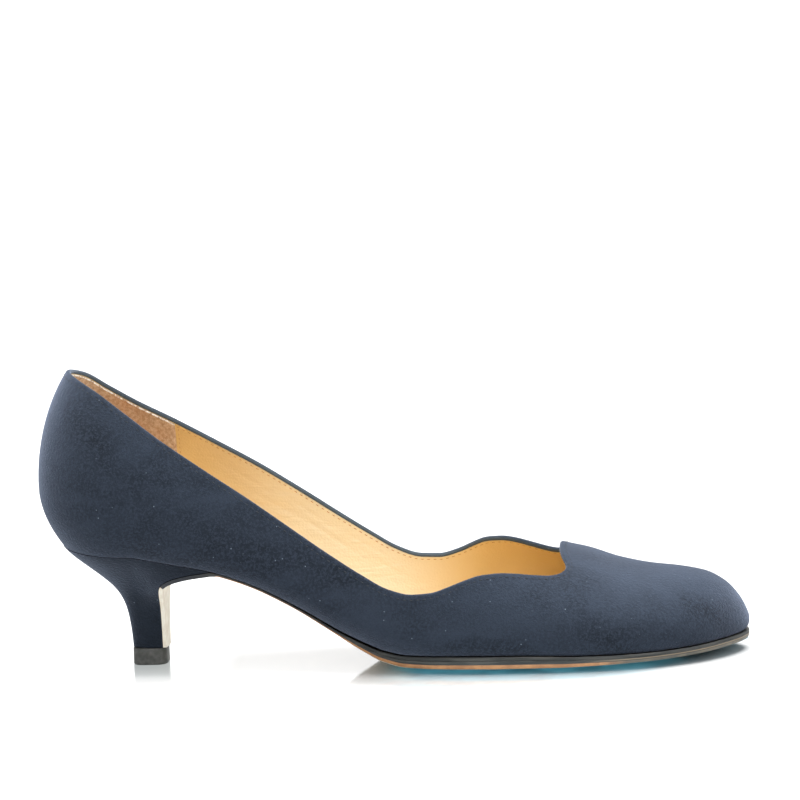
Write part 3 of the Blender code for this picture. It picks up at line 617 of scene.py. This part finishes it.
navy_thread = thread_finish("navy_thread", (0.005, 0.007, 0.011, 1), (0.013, 0.017, 0.025, 1))
tan_thread = thread_finish("tan_thread", (0.42, 0.22, 0.09, 1), (0.62, 0.36, 0.16, 1))
outside_row = stitch_points(
    layer(0.0, STITCH_BELOW)[0], outward[0], STITCH_PITCH, STITCH_LONG, THREAD, True,
)
inside_row = stitch_points(
    layer(WALL + THREAD_PROUD, STITCH_BELOW)[0], -outward[0], STITCH_PITCH, STITCH_LONG, THREAD, True,
)
for name, row, thread in (
    ("collar_stitches", outside_row, navy_thread), ("collar_stitches_inside", inside_row, tan_thread),
):
    stitches = make_piece(name, row, stitch_faces(len(row)), thread)
seam_rows = slice(3, UPPER_ROWS + 2)
seam_lines = []
for ends, side in zip(up_to(lining_face, GRIP_SEAM_X), (1, -1)):
    line = columns_at(lining_face, side * ends[:, None])[seam_rows, 0]
    normal = -columns_at(outward, side * ends[:, None])[seam_rows, 0]
    seam_lines.append(stitch_points(line, normal, GRIP_STITCH_PITCH, GRIP_STITCH_LONG, THREAD, False))
grip_row = np.concatenate(seam_lines)
grip_stitches = make_piece("heel_grip_stitches", grip_row, stitch_faces(len(grip_row)), tan_thread)

# Insole. A board runs from the heel to the toe inside the shell, and a sock of darker tan calf is
# glued over it. The sock's rim spreads to meet the lining, since the wall leans outwards there.

INSOLE_THICK = 2.2
PRESSED = 0.1
RIM_SPREAD = 1.3
RIM_DROP, RIM_POWER = 0.7, 14
ACROSS = 28


def pulled_in(loop, distance):
    """A closed plan loop moved inwards, or outwards where the distance is negative."""
    tangent = np.roll(loop, -1, axis=0)[:, :2] - np.roll(loop, 1, axis=0)[:, :2]
    normal = unit(np.stack([-tangent[:, 1], tangent[:, 0]], -1))
    moved = loop.copy()
    moved[:, :2] += normal * np.reshape(distance, (-1, 1))
    return moved


def across(lateral, medial, count):
    """Points across each station, from its lateral to its medial edge, and their signed share."""
    share = np.linspace(-1, 1, count + 1)
    blend = ((share + 1) / 2)[None, :, None]
    return lateral[:, None] * (1 - blend) + medial[:, None] * blend, share


def floor_of_last(lateral, medial, count):
    """The last's underside, sunk by the crown in the middle."""
    points, share = across(lateral, medial, count)
    points[..., 2] -= last("crown", points[..., 0]) * (1 - share**2)
    return points, share


edge = pulled_in(seam_loop, WALL - PRESSED)
rim = pulled_in(seam_loop, WALL - PRESSED - RIM_SPREAD)
half = len(edge) // 2
board, share = floor_of_last(edge[half - 1:0:-1], edge[half + 1:], ACROSS)
sock_top = floor_of_last(rim[half - 1:0:-1], rim[half + 1:], ACROSS)[0] + (0, 0, INSOLE_THICK)
sock_top[..., 2] -= RIM_DROP * np.abs(share) ** RIM_POWER


def tip_ring(index):
    """The ring beyond one end of the sock, all its points at the tip's own heights."""
    above, below = rim[index] + (0, 0, INSOLE_THICK - RIM_DROP), edge[index]
    return np.repeat([above, below], ACROSS + 1, axis=0)[None]


rings = np.concatenate([tip_ring(half), np.concatenate([sock_top, board[:, ::-1]], axis=1), tip_ring(0)])


def merge_close(piece, distance=0.00001):
    """Joins the points that lie together where a grid runs to a tip, and drops the faces that vanish."""
    work = bmesh.new()
    work.from_mesh(piece.data)
    bmesh.ops.remove_doubles(work, verts=work.verts, dist=distance)
    bmesh.ops.dissolve_degenerate(work, edges=work.edges, dist=distance / 10)
    bmesh.ops.recalc_face_normals(work, faces=work.faces)
    work.to_mesh(piece.data)
    work.free()


sock_calf = leather_finish(
    "sock_calf", (0.42, 0.27, 0.105, 1), (0.49, 0.33, 0.14, 1), 0.5, 18.0, 1300.0,
)[0]
sock = make_piece("insole_sock", rings, grid_faces(len(rings), rings.shape[1], False, True), sock_calf)
merge_close(sock)
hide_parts("insole")

# Heel. A moulded block is wrapped in the same suede, which ends at the two corners of the breast. It
# is nailed to the seat from inside the shoe, before the insole's sock goes in.

# Share of the height, then how far the back and the breast have spread there.
FLARE = (
    (0.0, 0.0, 0.0),
    (0.15, 0.02, 0.0),
    (0.30, 0.055, 0.0),
    (0.40, 0.095, 0.0),
    (0.50, 0.165, 0.0),
    (0.60, 0.28, 0.0),
    (0.70, 0.45, 0.01),
    (0.79, 0.625, 0.05),
    (0.85, 0.745, 0.14),
    (0.91, 0.86, 0.32),
    (0.96, 0.945, 0.60),
    (1.0, 1.0, 1.0),
)
BREAST_TOP_X = 62.0
TIP_BACK_X, TIP_FRONT_X = 31.4, 42.2
TIP_HALF = 6.6
TIP_POWER = 2.9
TOP_PIECE_HIGH = 6.0
BREAST_SWELL = 0.6
SWELL_POWER = 4
CORNER_SHARE = 0.28
SEAT_POINTS = 57
FLARE_FROM = 0.7
STEM_LEVELS, FLARE_LEVELS = 25, 37
SHARP = np.radians(40)


def seat_side(loop):
    """One side of the seat, evenly spaced from the middle of the back to the top of the breast."""
    side = loop[loop[:, 0] < BREAST_TOP_X]
    after = loop[np.argmax(loop[:, 0] >= BREAST_TOP_X)]
    blend = (BREAST_TOP_X - side[-1, 0]) / (after[0] - side[-1, 0])
    side = np.concatenate([side, [side[-1] + (after - side[-1]) * blend]])
    side[:, 2] -= GAP
    return walk(side, np.linspace(0, 1, SEAT_POINTS))


toe_index = len(seam_loop) // 2
seat = np.concatenate([
    seat_side(seam_loop[: toe_index + 1])[::-1],
    seat_side(np.concatenate([seam_loop[:1], seam_loop[: toe_index - 1:-1]]))[1:],
])
count = len(seat)
angle = np.linspace(0, np.pi, count)
tip = np.stack([
    TIP_FRONT_X - (TIP_FRONT_X - TIP_BACK_X) * np.sin(angle) ** (2 / TIP_POWER),
    -TIP_HALF * np.sign(np.cos(angle)) * np.abs(np.cos(angle)) ** (2 / TIP_POWER),
    np.full(count, TOP_PIECE_HIGH + GAP),
], -1)
levels = np.concatenate([
    np.linspace(0, FLARE_FROM, STEM_LEVELS), np.linspace(FLARE_FROM, 1, FLARE_LEVELS)[1:],
])
flare_share, flare_back, flare_breast = np.array(FLARE).T
back_spread = smooth(levels, flare_share, flare_back)[:, None]
breast_spread = smooth(levels, flare_share, flare_breast)[:, None]
from_corner = np.minimum(np.arange(count), np.arange(count)[::-1])
to_back = np.clip(from_corner / (count * CORNER_SHARE), 0, 1)[None]
to_back = to_back**2 * (3 - 2 * to_back)
spread = breast_spread + (back_spread - breast_spread) * to_back
heel_rings = np.stack([
    tip[:, 0] + (seat - tip)[:, 0] * spread,
    tip[:, 1] + (seat - tip)[:, 1] * back_spread,
    tip[:, 2] + (seat - tip)[:, 2] * levels[:, None],
], -1)
SOLE_ACROSS = 40
breast, share = across(heel_rings[:, 0], heel_rings[:, -1], SOLE_ACROSS)
height_share = np.linspace(0, 1, len(heel_rings))[:, None]
breast[..., 0] += BREAST_SWELL * (1 - share**2) * (1 - height_share**SWELL_POWER)
heel_skin = np.concatenate([heel_rings, breast[:, -2:0:-1]], axis=1)
around = heel_skin.shape[1]
faces = [list(f) for f in grid_faces(len(heel_skin), around, False, True)]
for first in (0, (len(heel_skin) - 1) * around):
    faces.append([first, first + 1, *range(first + count - 2, first + around)])
    middle = count // 2
    faces += [
        [first + i, first + i + 1, first + count - 2 - i, first + count - 1 - i]
        for i in range(1, middle - 1)
    ]
    faces.append([first + middle - 1, first + middle, first + middle + 1])
# The heel is wrapped in the upper's suede, given darker colours here: painted shade.
heel_suede = suede_finish(
    "heel_suede", (0.0045, 0.0068, 0.0105, 1), (0.0115, 0.0170, 0.0260, 1), 40.0,
)
heel = make_piece("suede_heel", heel_skin, faces, heel_suede)
merge_close(heel)
heel.data.set_sharp_from_angle(angle=SHARP)
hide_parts("heel")

# Outsole. One cut of sole leather runs from the toe to the heel's seat and turns down over its
# breast. The edge is trimmed square, inked dark with a groove and a tan bevel below, and the forefoot
# is dyed blue green up to the waist.

FLAP_THICK = 1.3
BEND_ROOM = 1.0
TREAD_FLAT = 0.5
EDGE_THICK = 4.3
# Share of the edge's height from the top, and how far the edge stands in there.
EDGE = (
    (0.0, 0.25), (0.05, 0.05), (0.12, 0.0), (0.25, 0.0), (0.285, 0.22), (0.315, 0.22), (0.35, 0.0),
    (0.5, 0.0), (0.62, 0.02), (0.66, 0.16), (0.72, 0.20), (0.85, 0.32), (0.94, 0.48), (1.0, 0.75),
)
edge_share = np.array(EDGE)[:, 0]
outline = pulled_in(seam_loop, -last("margin", seam_loop[:, 0]))
thickness = last("sole_edge", outline[:, 0])
edge_loops = []
for down, inset in EDGE:
    loop = pulled_in(outline, inset * thickness / EDGE_THICK)
    loop[:, 2] = last("sole_z", outline[:, 0]) + thickness * (1 - down)
    edge_loops.append(loop)
edge_loops = np.stack(edge_loops)
lateral_rows = edge_loops[:, toe_index - 1:0:-1].transpose(1, 0, 2)
medial_rows = edge_loops[:, toe_index + 1:].transpose(1, 0, 2)
keep = np.minimum(lateral_rows[:, 2, 0], medial_rows[:, 2, 0]) > BREAST_TOP_X + BEND_ROOM
lateral_rows, medial_rows = lateral_rows[keep], medial_rows[keep]
top_rows = floor_of_last(lateral_rows[:, 0], medial_rows[:, 0], SOLE_ACROSS)[0]
under_rows, share = across(lateral_rows[:, -1], medial_rows[:, -1], SOLE_ACROSS)
rise = np.clip((np.abs(share) - TREAD_FLAT) / (1 - TREAD_FLAT), 0, 1) ** 2
under_rows[..., 2] = last("sole_z", under_rows[..., 0]) - last("drop", under_rows[..., 0]) * (1 - rise)

middle_line = breast[:, SOLE_ACROSS // 2]
run = np.gradient(middle_line, axis=0)
ahead = unit(np.stack([run[:, 2], np.zeros(len(run)), -run[:, 0]], -1))[:, None]
flap_inner, flap_outer = breast + ahead * GAP, breast + ahead * (GAP + FLAP_THICK)
flap_inner[0, :, 2] = flap_outer[0, :, 2] = TOP_PIECE_HIGH + GAP
flap_inner, flap_outer = flap_inner[::-1], flap_outer[::-1]
blend = edge_share[None, :, None]
flap_lateral = flap_inner[:, :1] * (1 - blend) + flap_outer[:, :1] * blend
flap_medial = flap_inner[:, -1:] * (1 - blend) + flap_outer[:, -1:] * blend


def sole_rings(upper_row, medial_edge, lower_row, lateral_edge):
    """Rings of the sole: across its upper face, down one edge, back under it and up the other edge."""
    parts = [upper_row, medial_edge[:, 1:], lower_row[:, -2:0:-1], lateral_edge[:, :0:-1]]
    return np.concatenate(parts, axis=1)


toe_edge = edge_loops[:, toe_index][None]
toe_ring = sole_rings(
    np.broadcast_to(toe_edge[:, :1], (1, SOLE_ACROSS + 1, 3)), toe_edge,
    np.broadcast_to(toe_edge[:, -1:], (1, SOLE_ACROSS + 1, 3)), toe_edge,
)
sole_skin = np.concatenate([
    toe_ring,
    sole_rings(top_rows, medial_rows, under_rows, lateral_rows),
    sole_rings(flap_inner, flap_medial, flap_outer, flap_lateral),
])
INK_MARK, LEATHER_MARK = 0.2, 2.0
INKED_FROM = 0.80
sole_marks = np.concatenate([
    np.zeros(SOLE_ACROSS + 1), edge_share[1:], np.full(SOLE_ACROSS - 1, LEATHER_MARK), edge_share[:0:-1],
])
sole_marks = np.broadcast_to(sole_marks, sole_skin.shape[:2]).copy()
sole_marks[-len(flap_inner):] = LEATHER_MARK
turned_down = len(sole_skin) - len(flap_inner) + np.flatnonzero(levels[::-1] > INKED_FROM)
rows, around = sole_skin.shape[:2]
edge_columns = np.concatenate([
    np.arange(SOLE_ACROSS + 1, SOLE_ACROSS + len(EDGE)), np.arange(around - len(EDGE) + 1, around),
])
sole_marks[np.ix_(turned_down, edge_columns)] = INK_MARK
sole_marks[-len(flap_inner):, : SOLE_ACROSS + 1] = INK_MARK
faces = [list(f) for f in grid_faces(rows, around, False, True)]
faces.append(list(range((rows - 1) * around, rows * around)))

sole_leather, tree, shader = new_finish("sole_leather", Roughness=0.55)
place = put(tree, "ShaderNodeTexCoord").outputs["Object"]
forward = put(tree, "ShaderNodeSeparateXYZ", {0: place}).outputs[0]
mark = put(tree, "ShaderNodeAttribute", attribute_name="mark").outputs["Fac"]
grime = noise(tree, place, 260.0, 4.0)
streak_place = put(tree, "ShaderNodeMapping", {"Vector": place, "Scale": (70, 70, 900)}).outputs[0]
streak = noise(tree, streak_place, 1.0, 3.0)
ink = blend_colours(
    tree, between(tree, streak, 0.35, 0.7), (0.013, 0.016, 0.016, 1), (0.050, 0.051, 0.046, 1),
)
ink = blend_colours(tree, between(tree, forward, -0.060, -0.072), ink, (0.007, 0.010, 0.016, 1))
grubby = between(tree, grime, 0.3, 0.75)
tan = blend_colours(tree, grubby, (0.32, 0.145, 0.058, 1), (0.48, 0.235, 0.095, 1))
worn = blend_colours(tree, grubby, (0.085, 0.082, 0.068, 1), (0.155, 0.135, 0.10, 1))
bevel = blend_colours(tree, between(tree, forward, 0.068, 0.084), tan, worn)
at_toe = between(tree, forward, 0.066, 0.082)
light_line = times(tree, between(tree, mark, 0.42, 0.46), between(tree, mark, 0.58, 0.54))
light_line = times(tree, light_line, at_toe)
edge_colour = blend_colours(tree, light_line, ink, (0.20, 0.155, 0.10, 1))
edge_colour = blend_colours(tree, between(tree, mark, 0.62, 0.67), edge_colour, bevel)
natural = blend_colours(tree, between(tree, grime, 0.3, 0.7), (0.68, 0.61, 0.50, 1), (0.80, 0.76, 0.66, 1))
teal = blend_colours(tree, between(tree, grime, 0.3, 0.7), (0.085, 0.25, 0.31, 1), (0.11, 0.31, 0.38, 1))
under_colour = blend_colours(tree, between(tree, forward, 0.002, 0.010), natural, teal)
whole_colour = blend_colours(tree, between(tree, mark, 1.0, 1.15), edge_colour, under_colour)
tree.links.new(whole_colour, shader.inputs["Base Color"])
tree.links.new(relief(tree, streak, 0.35, 0.0003), shader.inputs["Normal"])
outsole = make_piece("leather_outsole", sole_skin, faces, sole_leather, sole_marks)
merge_close(outsole)
outsole.data.set_sharp_from_angle(angle=SHARP)
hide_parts("outsole")

# Top piece. A small lift of hard black rubber is pinned under the heel and trimmed flush with it. Its
# lower rim is rubbed round by walking.

TOP_PIECE_POWER = 3.6
TOP_PIECE_AROUND = 96
# Height, and how far the side stands in there.
TOP_PIECE_ROWS = ((0.0, 0.35), (0.12, 0.12), (0.35, 0.0), (5.7, 0.0), (5.9, 0.06), (6.0, 0.2))
angle = np.linspace(0, 2 * np.pi, TOP_PIECE_AROUND, endpoint=False)
front_x = TIP_FRONT_X + FLAP_THICK + GAP
middle_x, reach_x = (front_x + TIP_BACK_X) / 2, (front_x - TIP_BACK_X) / 2
round_x = np.sign(np.cos(angle)) * np.abs(np.cos(angle)) ** (2 / TOP_PIECE_POWER)
round_y = np.sign(np.sin(angle)) * np.abs(np.sin(angle)) ** (2 / TOP_PIECE_POWER)
lift_rings = np.stack([
    with_z(np.stack([middle_x + (reach_x - inset) * round_x, (TIP_HALF - inset) * round_y], -1), high)
    for high, inset in TOP_PIECE_ROWS
])
points = lift_rings.shape[0] * TOP_PIECE_AROUND
faces = [list(f) for f in grid_faces(len(lift_rings), TOP_PIECE_AROUND, False, True, flip=True)]
faces += [list(range(TOP_PIECE_AROUND)), list(range(points - TOP_PIECE_AROUND, points))]
rubber, tree, shader = new_finish("black_rubber", Roughness=0.55)
place = put(tree, "ShaderNodeTexCoord").outputs["Object"]
scuff = noise(tree, place, 420.0, 4.0)
colour = blend_colours(
    tree, between(tree, scuff, 0.35, 0.75), (0.040, 0.041, 0.038, 1), (0.085, 0.086, 0.080, 1),
)
tree.links.new(colour, shader.inputs["Base Color"])
tree.links.new(relief(tree, scuff, 0.3, 0.0002), shader.inputs["Normal"])
lift = make_piece("rubber_top_piece", lift_rings, faces, rubber)
merge_close(lift)
lift.data.set_sharp_from_angle(angle=SHARP)
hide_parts("top_piece")

# Floor. A white table, glossy under the shoe and matt beyond a line in front of it. A faint blue green
# emission is a painted reflection of the teal forefoot, and a pale one is painted light on the heel's shadow
# and reflection.

TABLE = 40
TABLE_CORNERS = ((-TABLE, -TABLE, 0), (TABLE, -TABLE, 0), (TABLE, TABLE, 0), (-TABLE, TABLE, 0))
floor_mesh = bpy.data.meshes.new("floor")
floor_mesh.from_pydata(TABLE_CORNERS, [], [(0, 1, 2, 3)])
floor = bpy.data.objects.new("floor", floor_mesh)
bpy.context.scene.collection.objects.link(floor)
table, tree, shader = new_finish("white_table", Roughness=0.6, Base_Color=(0.44, 0.44, 0.44, 1))
shader.inputs["Specular IOR Level"].default_value = 0.0
place = put(tree, "ShaderNodeTexCoord").outputs["Object"]
ahead, aside = put(tree, "ShaderNodeSeparateXYZ", {0: place}).outputs[:2]
# The line, in x and y, beyond which the floor is matt.
FADE_END = 130
FADE = (
    (-FADE_END, -42), (-60, -45), (0, -67), (25, -71), (48, -68), (69, -61), (83, -52), (96, -38),
    (106, -21), (111, -5), (115, 0), (FADE_END, 0),
)
FADE_REACH = 0.08
ahead_share = put(
    tree, "ShaderNodeMapRange", {"Value": ahead, "From Min": -FADE_END * MM, "From Max": FADE_END * MM},
).outputs[0]
fade_line = put(tree, "ShaderNodeFloatCurve", {"Value": ahead_share})
bend = fade_line.mapping.curves[0]
fade_points = [((x + FADE_END) / (2 * FADE_END), -y * MM / FADE_REACH) for x, y in FADE]
bend.points[0].location, bend.points[-1].location = fade_points[0], fade_points[-1]
for point in fade_points[1:-1]:
    bend.points.new(*point)
fade_line.mapping.update()
past_fade = put(
    tree, "ShaderNodeMath", {0: fade_line.outputs[0], 1: FADE_REACH, 2: aside}, operation="MULTIPLY_ADD",
).outputs[0]
gloss = between(tree, past_fade, 0.0, 0.022, 0.0, 0.5)
for way, start, end in ((ahead, -0.18, -0.13), (ahead, 0.120, 0.082), (aside, 0.075, 0.045)):
    gloss = times(tree, gloss, between(tree, way, start, end))
mirror = put(tree, "ShaderNodeBsdfGlossy", {"Color": (1, 1, 1, 1), "Roughness": 0.06})
joint = put(tree, "ShaderNodeMixShader", {0: gloss, 1: shader.outputs[0], 2: mirror.outputs[0]})
# Painted reflection: the floor gives off faint blue green light under the forefoot, blotched by noise.
teal_reflection_strength = between(tree, noise(tree, place, 90.0, 3.0), 0.25, 0.7, 0.45, 1.15)
for way, start, end in (
    (past_fade, 0.001, 0.012), (ahead, -0.010, 0.012), (ahead, 0.112, 0.080), (aside, 0.0, -0.02),
):
    teal_reflection_strength = times(tree, teal_reflection_strength, between(tree, way, start, end))
# Painted light: a pale emission by the heel lightens its shadow and reflection.
heel_light_strength = times(
    tree, between(tree, past_fade, 0.0, 0.014, 0.0, 0.3), between(tree, ahead, -0.055, -0.070),
)
pale = put(tree, "ShaderNodeEmission", {"Color": (0.92, 1.0, 1.0, 1), "Strength": heel_light_strength})
painted_teal_reflection = put(tree, "ShaderNodeEmission", {"Color": (0.035, 0.125, 0.155, 1), "Strength": teal_reflection_strength})
painted_reflection_light = put(tree, "ShaderNodeAddShader", {0: pale.outputs[0], 1: painted_teal_reflection.outputs[0]})
whole = put(tree, "ShaderNodeAddShader", {0: joint.outputs[0], 1: painted_reflection_light.outputs[0]})
tree.links.new(whole.outputs[0], tree.nodes["Material Output"].inputs["Surface"])
floor_mesh.materials.append(table)

# Light. A wide softbox overhead, and weaker ones on the viewer's side and off the heel and toe, each a
# sun lamp with a broad disc. The wall behind the table is white and bright.

room = bpy.data.worlds.new("pale_room")
room.use_nodes = True
way = put(room.node_tree, "ShaderNodeTexCoord").outputs["Generated"]
away = put(room.node_tree, "ShaderNodeSeparateXYZ", {0: way}).outputs[1]
wall = between(room.node_tree, away, 0.75, 0.92, 0.3, 1.6)
room.node_tree.links.new(wall, room.node_tree.nodes["Background"].inputs["Strength"])
room.node_tree.nodes["Background"].inputs["Color"].default_value = (1, 1, 1, 1)
bpy.context.scene.world = room
for name, spot, spread, strength in (
    ("overhead_softbox", (0.05, 0.12, 1.0), 55, 9.0),
    ("front_softbox", (0.25, -1.0, 1.0), 50, 1.1),
    ("back_softbox", (-1.0, 0.0, 0.35), 50, 0.5),
    ("toe_softbox", (1.0, -0.6, 0.5), 50, 0.8),
):
    lamp = bpy.data.lights.new(name, "SUN")
    lamp.angle, lamp.energy = np.radians(spread), strength
    softbox = bpy.data.objects.new(name, lamp)
    softbox.location = spot
    softbox.rotation_euler = (-Vector(spot)).to_track_quat("-Z", "Y").to_euler()
    bpy.context.scene.collection.objects.link(softbox)

# Camera. It stands at the shoe's outer side, a little above it, and is rolled slightly.

DISTANCE = 1400.0
LOOKED_AT = (3.9, -0.5, 91.9)
TURNED, RAISED, ROLLED = 3.5, 7.3, 1.8
LENS, SENSOR = 178.9, 36
turned, raised, rolled = np.radians((TURNED, RAISED, ROLLED))
view_way = Vector((-np.sin(turned) * np.cos(raised), np.cos(turned) * np.cos(raised), -np.sin(raised)))
level_right = Vector((np.cos(turned), np.sin(turned), 0))
level_up = level_right.cross(view_way)
right = level_right * np.cos(rolled) - level_up * np.sin(rolled)
up = level_right * np.sin(rolled) + level_up * np.cos(rolled)
lens = bpy.data.cameras.new("camera")
lens.lens, lens.sensor_width = LENS, SENSOR
camera = bpy.data.objects.new("camera", lens)
place = (Vector(LOOKED_AT) - view_way * DISTANCE) * MM
camera.matrix_world = Matrix((
    (right.x, up.x, -view_way.x, place.x),
    (right.y, up.y, -view_way.y, place.y),
    (right.z, up.z, -view_way.z, place.z),
    (0, 0, 0, 1),
))
bpy.context.scene.collection.objects.link(camera)
bpy.context.scene.camera = camera
bpy.context.scene.view_settings.view_transform = "Standard"
